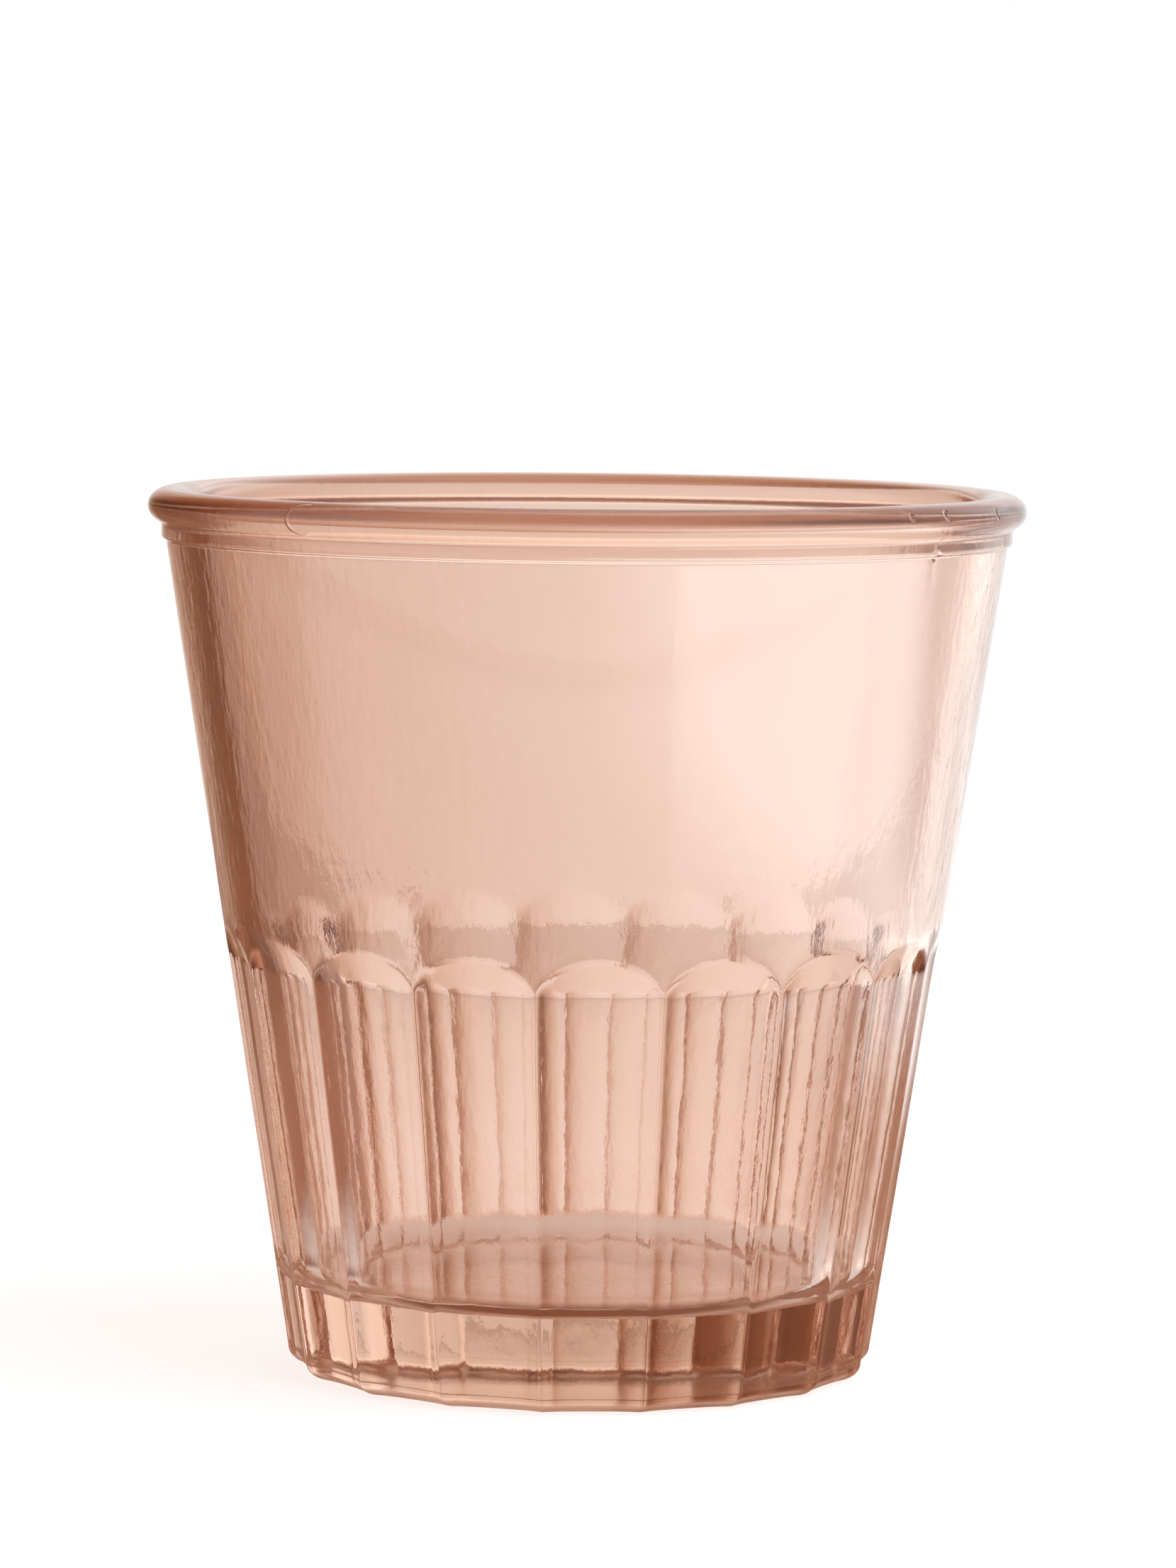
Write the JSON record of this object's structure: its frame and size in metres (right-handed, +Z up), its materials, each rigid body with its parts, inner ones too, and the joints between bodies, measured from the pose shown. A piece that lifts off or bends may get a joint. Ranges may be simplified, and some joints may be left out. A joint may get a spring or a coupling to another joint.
{
  "type": "ribbed tumbler",
  "caption": "Short tapered drinking tumbler of pressed peach glass, with a rolled rim, a plain upper wall, arched flutes on the lower wall and a heavy fluted foot.",
  "frame": {"origin": "centre of the standing plane, on the tumbler's axis", "axes": "+Z up the axis, from the foot to the rim; a ridge between two flutes lies on -Y and on +Y, and a flute's middle on -X and on +X"},
  "size_m": [0.09, 0.09, 0.0908],
  "materials": {
    "glass": "clear peach, fire-polished, with faint waves and mould marks"
  },
  "bodies": {
    "root": {"rim_bead": "glass", "collar_ring": "glass", "plain_wall": "glass", "fluted_wall": "glass", "foot": "glass"}
  },
  "joints": []
}
